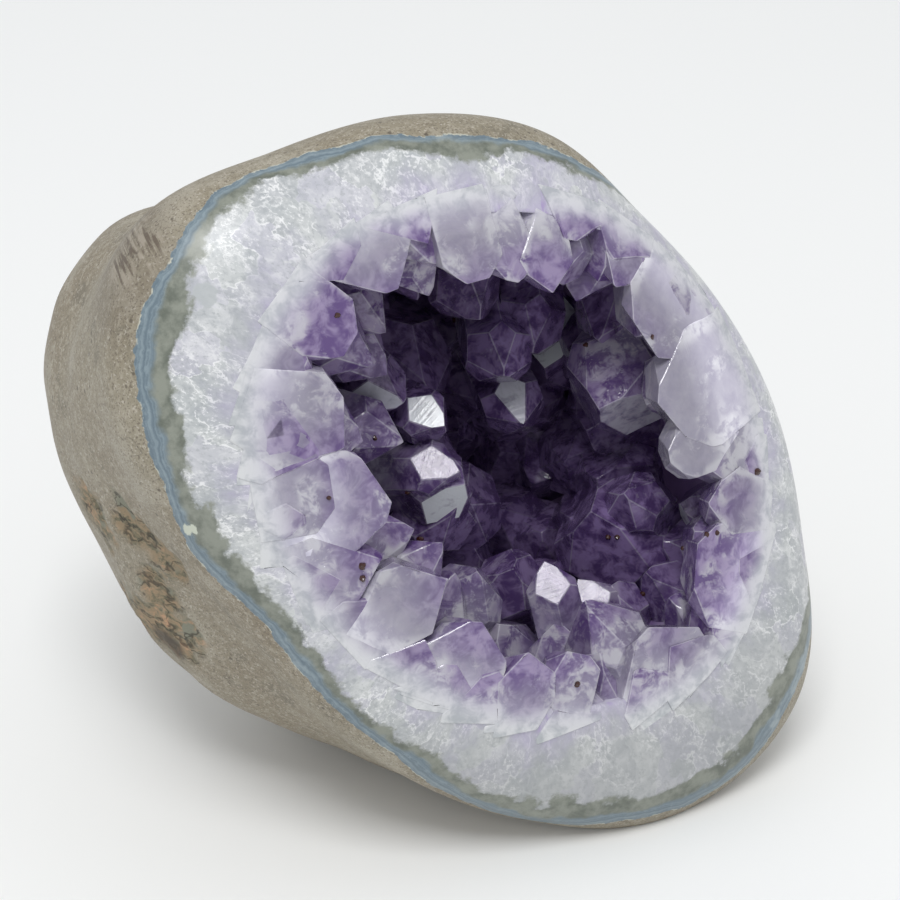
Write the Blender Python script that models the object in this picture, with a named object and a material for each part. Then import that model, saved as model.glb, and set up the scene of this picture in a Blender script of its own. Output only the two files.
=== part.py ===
"""An amethyst geode: a brown boulder with a domed, polished front and a deep hollow lined with crystals.

Run with: blender --background --python part.py

The shape is written in the polished face's own directions, u to the right, v up the face and
w out of it, round a centre behind the middle of the face. face_to_world() then leans the
face back, so that the ground base lies level. Sizes are in millimetres until there.
"""

import bmesh
import bpy
import math
import random
from mathutils import Matrix, Vector, noise

MM = 0.001

# The stone's outline, as radii at 16 equal clock steps from +u, round towards +v.
GIRTH_RADII = (54.8, 50.2, 49.3, 54.0, 56.0, 58.8, 65.9, 60.9, 50.3, 44.4, 45.7, 50.6, 59.9, 72.4, 75.1, 62.4)
BACK_RADII = (55.0, 51.7, 49.9, 49.1, 48.7, 51.3, 60.3, 60.8, 54.4, 52.7, 52.4, 52.5, 60.0, 70.0, 72.0, 64.0)
GIRTH_W = -6.0
BACK_W = -32.0
REAR_W = -68.0
DOME_HEIGHT = 19.0
DOME_POWER = 2.6
REAR_POWER = 2.5

# The polished face leans back by this angle, and the base is ground flat at this level.
FACE_LEAN = math.radians(19.0)
BASE_LEVEL = -61.8

# The hollow: a deep cup round its own centre, with the crystals' crust a small gap inside it.
MOUTH_RADII = (43.5, 41.5, 41.0, 43.5, 35.5, 31.5, 37.0, 47.0)
HOLLOW_CENTRE = Vector((3.5, 1.5, 0.0))
HOLLOW_DEPTH = 64.0
HOLLOW_POWER = 2.5
CRUST_GAP = 0.3
LINING = 3.0

# Quartz: a termination face leans this far from the crystal's axis, and six of them meet in the tip.
TIP_FACE_LEAN = math.radians(38.2)
ROOT_LENGTH = 32.0

# The crystals round the hollow's mouth, which the polished front cuts off: the u, v and w of the end
# towards the hollow, and the crystal's width.
RIM_CRYSTALS = (
    (-22.7, 27.4, 9.9, 6.5),
    (-12.5, 31.6, 10.1, 13.0),
    (-0.8, 30.3, 9.9, 9.0),
    (5.3, 29.6, 10.4, 7.0),
    (10.9, 27.4, 9.9, 8.0),
    (22.7, 25.4, 8.9, 9.5),
    (25.5, 14.7, 9.9, 14.5),
    (26.0, 5.7, 10.8, 15.5),
    (26.8, -2.2, 10.4, 8.5),
    (33.6, -10.8, 9.5, 9.0),
    (36.8, -13.4, 9.5, 7.5),
    (28.8, -17.4, 10.7, 16.0),
    (18.6, -27.5, 11.3, 15.0),
    (6.3, -28.7, 11.1, 8.0),
    (-1.3, -27.0, 11.0, 8.5),
    (-7.8, -19.9, 11.4, 12.5),
    (-14.6, -11.8, 11.2, 11.5),
    (-19.0, 1.4, 11.5, 15.0),
    (-27.3, 5.8, 10.7, 12.0),
    (-25.3, 13.3, 10.8, 13.0),
    (-29.1, 19.4, 10.9, 12.5),
    (-22.2, 25.1, 10.1, 10.0),
    (-29.6, 28.9, 9.8, 9.0),
    (-13.0, -25.0, 10.1, 10.0),
)

# The large crystals inside the hollow: the tip's u, v and w, the width, and 1 where one of the tip's
# faces is turned to the light.
INNER_CRYSTALS = (
    (-5, 29, 2, 7.0, 0),
    (20, 23, 1, 9.5, 0),
    (13, -24, 4, 12.0, 0),
    (29, -28, 2, 9.5, 0),
    (-8, -10, 0, 9.0, 0),
    (-12, -7, -1, 9.5, 0),
    (-5, -16.5, -4, 10.5, 0),
    (0.5, -8, -12, 12.0, 0),
    (-15, 20, 0, 9.0, 0),
    (-19, 9, 1, 9.5, 0),
    (30, 4, 1, 10.0, 0),
    (10, 12, -8, 9.5, 0),
    (17, 14, -11, 10.0, 0),
    (24, 4, -4, 15.5, 0),
    (23, -14, -10, 18.0, 0),
    (-10, 6, -5, 9.5, 0),
    (-7, 11, -10, 8.5, 0),
    (1, 5, -20, 12.0, 0),
    (-1, 6, -9, 7.5, 1),
    (0, -2, -16, 12.0, 0),
    (0, -1.5, -8, 8.0, 1),
    (1, -4, -9, 10.0, 0),
    (4, -9, -16, 14.0, 0),
    (0, -18, -7, 11.0, 0),
    (9, -21, -13, 10.0, 0),
    (16, -24, -18, 9.0, 0),
    (12.5, -19.5, -8, 7.5, 1),
    (18, -24, -8, 7.5, 1),
    (23, -26, -6, 8.0, 0),
    (29, -25, -5, 10.0, 0),
    (27, -11, -5, 9.0, 0),
    (36, -14.5, -3, 9.5, 0),
    (33.5, -21, -6, 10.0, 0),
    (9, 21, -12, 10.0, 0),
    (19, 18, -16, 10.5, 0),
    (1, 10, -18, 15.0, 0),
    (-11, 17, -5, 9.0, 0),
    (-11, 24, -3, 9.5, 0),
    (28, 14, -9, 11.5, 0),
    (23, -13, -32, 15.0, 1),
    (21, 1, -28, 15.0, 0),
    (15, 2, -14, 9.0, 1),
    (15, 4, -32, 15.0, 0),
    (20, -7, -36, 15.0, 0),
    (21, -20, -26, 14.0, 0),
    (6, -17, -22, 13.0, 0),
    (9, 14, -30, 14.0, 0),
    (12, -29, -5, 12.0, 0),
    (3, -28, -8, 11.5, 0),
    (20, -31, -6, 11.5, 0),
)

# Neighbours grow into one another: a crystal is this much wider than what is seen of it.
CROWDING = 1.12

# Between those, crystals stand at random wherever there is room for a tip: smaller ones along the
# mouth's edge, and larger ones down the hollow's wall.
RIM_SPACING = 5.8
RIM_TRIES = 400
FILL_SPACING = 7.6
FILL_TRIES = 1500
FILL_SEED = 23

# The rim crystals' tips would stand this share of their width above the polished front.
RIM_LIFT = 0.4

# The rim crystals point at this far above their own tips, and the inner ones at this level, in the
# hollow's middle.
RIM_RISE = 20.0
AIM_LEVEL = 12.0

# A facet turned this way mirrors a light from above to whoever looks into the hollow.
LIT = Vector((-0.317, 0.514, 0.797))

CLOCK_STEPS = 48
DOME_RINGS = 7
SIDE_RINGS = 5
REAR_RINGS = 8
HOLLOW_RINGS = 9

# Natural lumps on the sides and the rear. The polished front has none.
LUMP_HEIGHT = 1.5
LUMP_SIZE = 24.0


def smooth_radius(radii, clock):
    """A radius at a clock angle, on the smooth closed curve through equally spaced radii."""
    count = len(radii)
    place = (clock / math.tau * count) % count
    step = int(place)
    t = place - step
    a, b, c, d = (radii[(step + k) % count] for k in (-1, 0, 1, 2))
    return 0.5 * (2 * b + (c - a) * t + (2 * a - 5 * b + 4 * c - d) * t**2 + (3 * b - a - 3 * c + d) * t**3)


def arch(share, power):
    """A rounded step down: 1 at share 0, 0 at share 1, with a superellipse between."""
    return max(0.0, 1.0 - min(1.0, share) ** power) ** (1.0 / power)


def round_centre(clock, radius, w):
    return Vector((radius * math.cos(clock), radius * math.sin(clock), w))


def dome_point(clock, share):
    """A point of the polished front, share of the way from its middle (0) to the girth (1)."""
    w = GIRTH_W + DOME_HEIGHT * arch(share, DOME_POWER)
    return round_centre(clock, share * smooth_radius(GIRTH_RADII, clock), w)


def lumpy(point, amount):
    """The point moved in or out by the boulder's natural lumps."""
    lump = noise.noise(point / LUMP_SIZE) + 0.5 * noise.noise(point / (0.45 * LUMP_SIZE))
    return point + point.normalized() * lump * LUMP_HEIGHT * amount


def side_point(clock, share):
    """A point of the side, from the girth (0) to where the rear begins to round off (1)."""
    blend = share * share * (3 - 2 * share)
    front = smooth_radius(GIRTH_RADII, clock)
    rear = smooth_radius(BACK_RADII, clock)
    w = GIRTH_W + share * (BACK_W - GIRTH_W)
    return lumpy(round_centre(clock, front + blend * (rear - front), w), blend)


def rear_point(clock, share):
    """A point of the rear, from the end of the side (0) to the rear's middle (1)."""
    turn = share * math.pi / 2
    radius = smooth_radius(BACK_RADII, clock) * math.cos(turn) ** (2 / REAR_POWER)
    w = BACK_W + (REAR_W - BACK_W) * math.sin(turn) ** (2 / REAR_POWER)
    return lumpy(round_centre(clock, radius, w), 1.0)


def mouth_share(clock, inset=0.0):
    """Where the hollow's edge cuts the polished front, as a share of the girth's radius."""
    return (smooth_radius(MOUTH_RADII, clock) - inset) / smooth_radius(GIRTH_RADII, clock)


def hollow_point(clock, share, inset=0.0):
    """A point of the hollow's wall, from its edge at the front (0) to its deepest point (1)."""
    edge = dome_point(clock, mouth_share(clock, inset))
    turn = share * math.pi / 2
    narrowing = math.cos(turn) ** (2 / HOLLOW_POWER) if share < 1 else 0.0
    depth = (HOLLOW_DEPTH - inset) * math.sin(turn) ** (2 / HOLLOW_POWER)
    across = Vector((edge.x, edge.y, 0)).lerp(HOLLOW_CENTRE, 1 - narrowing)
    level = edge.z + (dome_point(0.0, 0.0).z - edge.z) * (1 - narrowing)
    return across + Vector((0, 0, level - depth))


def rings_of(point_at, count, first=0.0, last=1.0, **options):
    """Closed rings of points, evenly from one share to another."""
    clocks = [math.tau * k / CLOCK_STEPS for k in range(CLOCK_STEPS)]
    shares = [first + (last - first) * k / (count - 1) for k in range(count)]
    return [[point_at(clock, share, **options) for clock in clocks] for share in shares]


def skin(name, start, rings, end):
    """A closed mesh through rings of points, with a point at each end."""
    bm = bmesh.new()
    loops = [[bm.verts.new(point) for point in ring] for ring in rings]
    for upper, lower in zip(loops, loops[1:]):
        for k in range(CLOCK_STEPS):
            nxt = (k + 1) % CLOCK_STEPS
            bm.faces.new((upper[k], lower[k], lower[nxt], upper[nxt]))
    for pole, loop, turned in ((start, loops[0], False), (end, loops[-1], True)):
        middle = bm.verts.new(pole)
        for k in range(CLOCK_STEPS):
            corner, nxt = loop[k], loop[(k + 1) % CLOCK_STEPS]
            bm.faces.new((middle, nxt, corner) if turned else (middle, corner, nxt))
    bmesh.ops.recalc_face_normals(bm, faces=bm.faces)
    mesh = bpy.data.meshes.new(name)
    bm.to_mesh(mesh)
    bm.free()
    return mesh


def face_to_world():
    """Leans the face back and sets the base's level at z 0, in metres."""
    lean = Matrix.Rotation(math.pi / 2 - FACE_LEAN, 4, "X")
    return Matrix.Scale(MM, 4) @ Matrix.Translation((0, 0, -BASE_LEVEL)) @ lean


def add_object(name, mesh, helper=False):
    obj = bpy.data.objects.new(name, mesh)
    bpy.context.scene.collection.objects.link(obj)
    if helper:
        obj.hide_render = True
        obj.display_type = "WIRE"
    return obj


def stone_mesh():
    """The boulder with its hollow, before the base is ground flat."""
    wall = rings_of(hollow_point, HOLLOW_RINGS, last=1 - 0.5 / HOLLOW_RINGS)
    clocks = [math.tau * k / CLOCK_STEPS for k in range(CLOCK_STEPS)]
    face = []
    for k in range(1, DOME_RINGS + 1):
        step = math.sin(math.pi / 2 * k / DOME_RINGS)
        shares = [mouth_share(clock) + (1 - mouth_share(clock)) * step for clock in clocks]
        face.append([dome_point(clock, share) for clock, share in zip(clocks, shares)])
    side = rings_of(side_point, SIDE_RINGS)[1:]
    rear = rings_of(rear_point, REAR_RINGS, last=1 - 0.3 / REAR_RINGS)[1:]
    deepest = hollow_point(0.0, 1.0)
    return skin("geode_stone", deepest, wall[::-1] + face + side + rear, rear_point(0.0, 1.0))


def grind_base(mesh):
    """Cuts the stone off level and closes the cut, as the ground base that it stands on."""
    bm = bmesh.new()
    bm.from_mesh(mesh)
    everything = bm.verts[:] + bm.edges[:] + bm.faces[:]
    cut = bmesh.ops.bisect_plane(bm, geom=everything, plane_co=(0, 0, 0), plane_no=(0, 0, -1), clear_outer=True)
    edges = [e for e in cut["geom_cut"] if isinstance(e, bmesh.types.BMEdge)]
    bmesh.ops.contextual_create(bm, geom=edges)
    bmesh.ops.recalc_face_normals(bm, faces=bm.faces)
    bm.to_mesh(mesh)
    bm.free()


def plug_mesh():
    """The space that the crust may fill: the hollow up to the polished front, less the gap."""
    wall = rings_of(hollow_point, HOLLOW_RINGS, last=1 - 0.5 / HOLLOW_RINGS, inset=CRUST_GAP)
    clocks = [math.tau * k / CLOCK_STEPS for k in range(CLOCK_STEPS)]
    cap = [[dome_point(c, mouth_share(c, CRUST_GAP) * share) for c in clocks] for share in (0.3, 0.6, 0.8)]
    deepest = hollow_point(0.0, 1.0, inset=CRUST_GAP)
    return skin("plug", dome_point(0.0, 0.0), cap + wall, deepest)


def lining_point(clock, share):
    """A point of the lining's inner side: the lining is thin at the mouth."""
    return hollow_point(clock, share, inset=min(LINING, 1.2 + 6.0 * share))


def lining_mesh():
    """The quartz that the crystals grow from: a thin cup that reaches past the plug on every side."""
    outer = rings_of(hollow_point, HOLLOW_RINGS, last=1 - 0.5 / HOLLOW_RINGS, inset=-0.7)
    inner = rings_of(lining_point, HOLLOW_RINGS, last=1 - 0.5 / HOLLOW_RINGS)
    raised_outer = [point + Vector((0, 0, 4)) for point in outer[0]]
    raised_inner = [point + Vector((0, 0, 4)) for point in inner[0]]
    rings = inner[::-1] + [raised_inner, raised_outer] + outer
    return skin("lining", hollow_point(0, 1, inset=LINING), rings, hollow_point(0, 1, inset=-0.7))


def cut_away(bm, place, normal):
    """Slices a closed convex mesh by a plane and closes the slice."""
    everything = bm.verts[:] + bm.edges[:] + bm.faces[:]
    cut = bmesh.ops.bisect_plane(bm, geom=everything, plane_co=place, plane_no=normal, clear_outer=True)
    edges = [e for e in cut["geom_cut"] if isinstance(e, bmesh.types.BMEdge)]
    if edges:
        bmesh.ops.contextual_create(bm, geom=edges)


def crystal(width, uneven):
    """One quartz crystal down the z axis from its tip at the origin: a six-sided prism with six end faces."""
    corner = width / 2 / math.cos(math.pi / 6)
    bm = bmesh.new()
    bmesh.ops.create_cone(
        bm,
        cap_ends=True,
        segments=6,
        radius1=corner,
        radius2=corner,
        depth=ROOT_LENGTH + width,
        matrix=Matrix.Translation((0, 0, (width - ROOT_LENGTH) / 2)),
    )
    for side in range(6):
        clock = math.pi / 6 + side * math.pi / 3
        outward = Vector((math.cos(clock), math.sin(clock), 0))
        normal = outward * math.cos(TIP_FACE_LEAN) + Vector((0, 0, math.sin(TIP_FACE_LEAN)))
        raised = uneven * width if side % 2 else 0.0
        cut_away(bm, Vector((0, 0, raised)), normal)
    return bm


def tip_surface(clock, share):
    """Where the tips of the filling crystals may be: a smaller hollow inside the hollow."""
    wall = hollow_point(clock, share, inset=3.0)
    return wall.lerp(HOLLOW_CENTRE + Vector((0, 0, -14.0)), 0.3)


def crystal_tips():
    """Each crystal's tip, its width, whether one of its tip faces is turned to the light, and the level it points at."""
    chance = random.Random(FILL_SEED)
    placed = []
    for u, v, w, width in RIM_CRYSTALS:
        tip = Vector((u, v, w + RIM_LIFT * width))
        placed.append((tip, width, 0, tip.z + RIM_RISE))
    placed += [(Vector(row[:3]), row[3], row[4], AIM_LEVEL) for row in INNER_CRYSTALS]
    for _ in range(RIM_TRIES):
        clock = chance.uniform(0, math.tau)
        edge = dome_point(clock, mouth_share(clock, chance.uniform(2.0, 11.0)))
        tip = edge - Vector((0, 0, chance.uniform(-3.0, 4.0)))
        width = chance.uniform(8.0, 14.0)
        if all((tip - other[0]).length > RIM_SPACING for other in placed):
            placed.append((tip, width, 0, tip.z + chance.uniform(8.0, 22.0)))
    for _ in range(FILL_TRIES):
        tip = tip_surface(chance.uniform(0, math.tau), chance.uniform(0.16, 1.0))
        width = chance.uniform(11.5, 16.0)
        if all((tip - other[0]).length > FILL_SPACING for other in placed):
            placed.append((tip, width, 0, 8.0 + 0.35 * tip.z))
    return placed


def standing(tip, lit, level, chance):
    """Where a crystal stands: its tip at the place given, its axis out of the wall and towards the mouth."""
    aim = HOLLOW_CENTRE + Vector((0, 0, level))
    lean = Vector([chance.uniform(-0.18, 0.18) for _ in range(3)])
    axis = ((aim - tip).normalized() + lean).normalized()
    turn = chance.uniform(0, math.tau)
    if lit:
        across = (axis - LIT * axis.dot(LIT)).normalized()
        axis = LIT * math.sin(TIP_FACE_LEAN) + across * math.cos(TIP_FACE_LEAN)
    facing = axis.to_track_quat("Z", "X")
    if lit:
        seen = facing.inverted() @ LIT
        turn = math.atan2(seen.y, seen.x) - math.pi / 6
    return Matrix.Translation(tip) @ facing.to_matrix().to_4x4() @ Matrix.Rotation(turn, 4, "Z")


def crystals_mesh():
    """Every crystal, each a closed body that overlaps its neighbours."""
    chance = random.Random(FILL_SEED)
    bm = bmesh.new()
    for tip, width, lit, level in crystal_tips():
        place = standing(tip, lit, level, chance)
        one = crystal(width * CROWDING, chance.uniform(0.03, 0.16))
        one.transform(place)
        piece = bpy.data.meshes.new("crystal")
        one.to_mesh(piece)
        one.free()
        bm.from_mesh(piece)
        bpy.data.meshes.remove(piece)
    bmesh.ops.recalc_face_normals(bm, faces=bm.faces)
    mesh = bpy.data.meshes.new("crystals")
    bm.to_mesh(mesh)
    bm.free()
    return mesh


def boolean(obj, other, operation, use_self=False):
    cut = obj.modifiers.new(operation.lower(), "BOOLEAN")
    cut.object = other
    cut.operation = operation
    cut.solver = "EXACT"
    cut.use_self = use_self


def keep_main_body(obj):
    """Fixes the modifiers' result, and drops what isn't joined to its outer surface."""
    graph = bpy.context.evaluated_depsgraph_get()
    mesh = bpy.data.meshes.new_from_object(obj.evaluated_get(graph))
    obj.modifiers.clear()
    obj.data = mesh
    bm = bmesh.new()
    bm.from_mesh(mesh)
    left = set(bm.verts)
    bodies = []
    while left:
        body = set()
        edge_of_search = [left.pop()]
        while edge_of_search:
            vert = edge_of_search.pop()
            body.add(vert)
            for edge in vert.link_edges:
                other = edge.other_vert(vert)
                if other in left:
                    left.remove(other)
                    edge_of_search.append(other)
        bodies.append(body)
    main = max(bodies, key=len)
    spare = [vert for vert in bm.verts if vert not in main]
    bmesh.ops.delete(bm, geom=spare, context="VERTS")
    bm.to_mesh(mesh)
    bm.free()


def centre_on_base(objects):
    """Moves the objects together, so that the middle of their box's bottom is the origin."""
    corners = [vert.co for obj in objects for vert in obj.data.vertices]
    low = Vector([min(co[axis] for co in corners) for axis in range(3)])
    high = Vector([max(co[axis] for co in corners) for axis in range(3)])
    shift = Vector((-(low.x + high.x) / 2, -(low.y + high.y) / 2, -low.z))
    for obj in objects:
        obj.data.transform(Matrix.Translation(shift))


def material(name, colour, roughness):
    made = bpy.data.materials.new(name)
    made.use_nodes = True
    surface = made.node_tree.nodes["Principled BSDF"]
    surface.inputs["Base Color"].default_value = (*colour, 1)
    surface.inputs["Roughness"].default_value = roughness
    return made


def main():
    for obj in list(bpy.data.objects):
        bpy.data.objects.remove(obj)
    to_world = face_to_world()

    stone = add_object("geode_stone", stone_mesh())
    stone.data.transform(to_world)
    grind_base(stone.data)
    stone.data.materials.append(material("basalt", (0.27, 0.23, 0.18), 0.6))

    crust = add_object("crystal_crust", lining_mesh())
    crystals = add_object("crystals", crystals_mesh(), helper=True)
    plug = add_object("plug", plug_mesh(), helper=True)
    for obj in (crust, crystals, plug):
        obj.data.transform(to_world)
    boolean(crust, crystals, "UNION", use_self=True)
    boolean(crust, plug, "INTERSECT")
    keep_main_body(crust)
    centre_on_base((stone, crust))
    crust.data.materials.append(material("amethyst", (0.36, 0.2, 0.6), 0.15))


main()
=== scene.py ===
import math
import random

import bmesh
import bpy
from mathutils import Matrix, Vector, noise
from mathutils.bvhtree import BVHTree

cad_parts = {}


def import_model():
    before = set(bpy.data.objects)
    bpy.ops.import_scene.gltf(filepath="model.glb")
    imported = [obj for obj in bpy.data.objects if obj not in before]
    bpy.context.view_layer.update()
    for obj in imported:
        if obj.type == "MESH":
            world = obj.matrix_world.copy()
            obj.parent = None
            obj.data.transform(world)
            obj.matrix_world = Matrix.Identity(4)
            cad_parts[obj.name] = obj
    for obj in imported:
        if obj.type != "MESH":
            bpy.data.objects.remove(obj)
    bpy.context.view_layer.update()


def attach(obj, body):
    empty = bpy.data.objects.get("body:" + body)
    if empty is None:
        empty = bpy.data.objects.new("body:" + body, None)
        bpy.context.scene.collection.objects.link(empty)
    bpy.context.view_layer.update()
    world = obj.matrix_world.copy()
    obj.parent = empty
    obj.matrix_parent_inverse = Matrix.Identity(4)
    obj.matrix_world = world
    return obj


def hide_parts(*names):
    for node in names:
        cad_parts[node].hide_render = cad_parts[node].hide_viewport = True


# The shape, in the polished face's own directions (u, v, w) and in millimetres, as in part.py.
MM = 0.001
GIRTH_RADII = (
    (54.8, 50.2, 49.3, 54.0, 56.0, 58.8, 65.9, 60.9)
    + (50.3, 44.4, 45.7, 50.6, 59.9, 72.4, 75.1, 62.4)
)
BACK_RADII = (
    (55.0, 51.7, 49.9, 49.1, 48.7, 51.3, 60.3, 60.8)
    + (54.4, 52.7, 52.4, 52.5, 60.0, 70.0, 72.0, 64.0)
)
GIRTH_W = -6.0
BACK_W = -32.0
REAR_W = -68.0
DOME_HEIGHT = 19.0
DOME_POWER = 2.6
REAR_POWER = 2.5
FACE_LEAN = math.radians(19.0)
FACE_CENTRE = Vector((-1.466, -22.896, 61.8))
MOUTH_RADII = (43.5, 41.5, 41.0, 43.5, 35.5, 31.5, 37.0, 47.0)
HOLLOW_CENTRE = Vector((3.5, 1.5, 0.0))
HOLLOW_DEPTH = 64.0
HOLLOW_POWER = 2.5
TIP_FACE_LEAN = math.radians(38.2)
LUMP_HEIGHT = 1.5
LUMP_SIZE = 24.0

# How far in from the girth the agate line lies, how wide it is, and how wide the dull green band
# inside it is, at 24 equal clock steps.
AGATE_OFFSETS = (
    (-4.0, -4.0, -4.0, 2.5, 8.0, 9.8, 9.2, 6.6, 5.6, 9.5, 8.6, 9.8)
    + (6.6, 8.0, 8.3, 8.8, 8.6, 6.2, 4.7, 9.5, 9.0, 11.4, 5.0, -4.0)
)
AGATE_WIDTHS = (
    (1.5, 1.5, 1.5, 1.5, 1.5, 1.5, 1.0, 2.1, 1.8, 1.6, 2.8, 2.6)
    + (2.7, 2.2, 2.1, 1.7, 3.0, 3.4, 3.4, 2.4, 3.6, 3.2, 2.0, 1.5)
)
OLIVE_WIDTHS = (
    (1.0, 1.0, 1.0, 0.8, 0.8, 1.7, 2.7, 1.6, 1.9, 2.3, 4.4, 2.6)
    + (3.0, 2.6, 1.8, 1.2, 2.0, 3.2, 4.4, 4.2, 3.4, 3.6, 2.4, 1.0)
)

# Weathered patches on the side: u, v, w and the radius.
WEATHERED = (
    (-51.6, -0.6, -18.0, 5.5),
    (-54.4, 0.4, -29.7, 6.0),
    (-48.5, -6.5, -14.5, 5.5),
    (-49.0, -12.5, -20.5, 6.0),
    (-46.5, -19.5, -24.0, 6.5),
    (-50.0, -20.0, -34.0, 9.0),
)

# Where saw marks are left: the place and the radius. They run along one direction and lie side by
# side across it.
SAWN = (-47.5, 43.5, -4.0, 7.5)
SAW_RUN = (0.25, -0.61, -0.75)
SAW_ACROSS = (0.89, -0.16, 0.42)

# Spots in the polished rim: u, v, w, the radius, and 1 for clear grey or -1 for a pale crumb.
SPOTS = (
    (-42.0, 37.0, 6.6, 2.4, 1.0),
    (-48.9, 2.3, 2.3, 1.6, -0.8),
)

# Painted shade, dark in a hollow and in a slit, and a faintly darker brown stretch of the side: u,
# v, w, the radius and the strength.
PAINTED_SHADE_AND_DARK_PATCH = (
    (-47.0, -23.0, -28.5, 4.5, 1.0),
    (-18.0, -49.0, -17.5, 1.6, 1.0),
    (-48.5, 41.0, -6.0, 13.0, 0.3),
)

# The crystals that the polished dome cuts off: the u, v, w of the place on it, and the width.
RIM_CRYSTALS = (
    (-22.7, 27.4, 9.9, 6.5),
    (-12.5, 31.6, 10.1, 13.0),
    (-0.8, 30.3, 9.9, 9.0),
    (5.3, 29.6, 10.4, 7.0),
    (10.9, 27.4, 9.9, 8.0),
    (22.7, 25.4, 8.9, 9.5),
    (25.5, 14.7, 9.9, 14.5),
    (26.0, 5.7, 10.8, 15.5),
    (26.8, -2.2, 10.4, 8.5),
    (33.6, -10.8, 9.5, 9.0),
    (36.8, -13.4, 9.5, 7.5),
    (28.8, -17.4, 10.7, 16.0),
    (18.6, -27.5, 11.3, 15.0),
    (6.3, -28.7, 11.1, 8.0),
    (-1.3, -27.0, 11.0, 8.5),
    (-7.8, -19.9, 11.4, 12.5),
    (-14.6, -11.8, 11.2, 11.5),
    (-19.0, 1.4, 11.5, 15.0),
    (-27.3, 5.8, 10.7, 12.0),
    (-25.3, 13.3, 10.8, 13.0),
    (-29.1, 19.4, 10.9, 12.5),
    (-22.2, 25.1, 10.1, 10.0),
    (-29.6, 28.9, 9.8, 9.0),
    (-13.0, -25.0, 10.1, 10.0),
)
# The whole crystals: the tip's u, v, w, the width, and 1 for one whose face mirrors the light.
INNER_CRYSTALS = (
    (-5, 29, 2, 7.0, 0),
    (20, 23, 1, 9.5, 0),
    (13, -24, 4, 12.0, 0),
    (29, -28, 2, 9.5, 0),
    (-8, -10, 0, 9.0, 0),
    (-12, -7, -1, 9.5, 0),
    (-5, -16.5, -4, 10.5, 0),
    (0.5, -8, -12, 12.0, 0),
    (-15, 20, 0, 9.0, 0),
    (-19, 9, 1, 9.5, 0),
    (30, 4, 1, 10.0, 0),
    (10, 12, -8, 9.5, 0),
    (17, 14, -11, 10.0, 0),
    (24, 4, -4, 15.5, 0),
    (23, -14, -10, 18.0, 0),
    (-10, 6, -5, 9.5, 0),
    (-7, 11, -10, 8.5, 0),
    (1, 5, -20, 12.0, 0),
    (-1, 6, -9, 7.5, 1),
    (0, -2, -16, 12.0, 0),
    (0, -1.5, -8, 8.0, 1),
    (1, -4, -9, 10.0, 0),
    (4, -9, -16, 14.0, 0),
    (0, -18, -7, 11.0, 0),
    (9, -21, -13, 10.0, 0),
    (16, -24, -18, 9.0, 0),
    (12.5, -19.5, -8, 7.5, 1),
    (18, -24, -8, 7.5, 1),
    (23, -26, -6, 8.0, 0),
    (29, -25, -5, 10.0, 0),
    (27, -11, -5, 9.0, 0),
    (36, -14.5, -3, 9.5, 0),
    (33.5, -21, -6, 10.0, 0),
    (9, 21, -12, 10.0, 0),
    (19, 18, -16, 10.5, 0),
    (1, 10, -18, 15.0, 0),
    (-11, 17, -5, 9.0, 0),
    (-11, 24, -3, 9.5, 0),
    (28, 14, -9, 11.5, 0),
    (23, -13, -32, 15.0, 1),
    (21, 1, -28, 15.0, 0),
    (15, 2, -14, 9.0, 1),
    (15, 4, -32, 15.0, 0),
    (20, -7, -36, 15.0, 0),
    (21, -20, -26, 14.0, 0),
    (6, -17, -22, 13.0, 0),
    (9, 14, -30, 14.0, 0),
    (12, -29, -5, 12.0, 0),
    (3, -28, -8, 11.5, 0),
    (20, -31, -6, 11.5, 0),
)
# Every crystal is this much wider than its row says, so that neighbours grow into each other.
CROWDING = 1.12

# More crystals fill the wall by chance: those near the rim first, then those deeper in.
FILL_SEED = 23
RIM_TRIES = 400
RIM_SPACING = 5.8
RIM_INSET = (2.0, 11.0)
RIM_DROP = (-3.0, 4.0)
RIM_WIDTHS = (8.0, 14.0)
RIM_AIM = (8.0, 22.0)
FILL_TRIES = 1500
FILL_SPACING = 7.6
FILL_DEPTH = (0.16, 1.0)
FILL_WIDTHS = (11.5, 16.0)

# The deeper ones' tips lie this far off the wall and this share of the way on to a point in the
# hollow's middle. They point at a level that follows their own.
FILL_INSET = 3.0
FILL_SHARE = 0.3
FILL_MIDDLE = Vector((0, 0, -14.0))
FILL_AIM = 8.0
FILL_FOLLOW = 0.35

# How unequal the tip faces are, as a share of the width, and how far an axis wanders off its aim.
UNEVEN = (0.03, 0.16)
WANDER = 0.18

# Facets turned this way mirror the overhead light to whoever looks into the hollow.
LIT = Vector((-0.317, 0.514, 0.797))

# Small dark brown grains in the crystals: u, v, w and the radius.
DARK_GRAINS = (
    (-23.9, 30.8, 11.1, 0.4),
    (12.3, 18.6, -29.6, 0.5),
    (26.7, 13.3, -10.9, 0.45),
    (-14.3, 7.5, -6.1, 0.4),
    (-7.2, -4.2, -13.6, 0.45),
    (-29.8, 4.3, 11.5, 0.4),
    (-4.9, -13.3, -17.2, 0.6),
    (-26.1, -7.2, 11.0, 0.6),
    (-26.2, -9.2, 10.8, 0.5),
    (25.6, -19.0, -10.0, 0.5),
    (26.7, -19.1, -8.9, 0.5),
    (32.6, -20.4, 2.4, 0.4),
    (32.5, -16.4, 11.2, 0.45),
    (34.4, -16.7, 11.1, 0.45),
    (29.1, -29.3, -7.1, 0.5),
    (6.1, -34.5, 11.6, 0.5),
    (44.6, -9.3, 8.4, 0.6),
    (27.7, 16.7, 10.4, 0.4),
)

# Where the crystals are paler, or purpler below 0: u, v, w, the radius and how much.
TINTS = (
    (28.5, -17.0, 9.0, 10.0, -2.4),
    (26.5, 4.0, 10.0, 10.0, 1.8),
    (-16.0, -12.0, 10.0, 8.0, 0.5),
    (-26.0, 24.0, 10.0, 8.0, -1.2),
)
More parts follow.
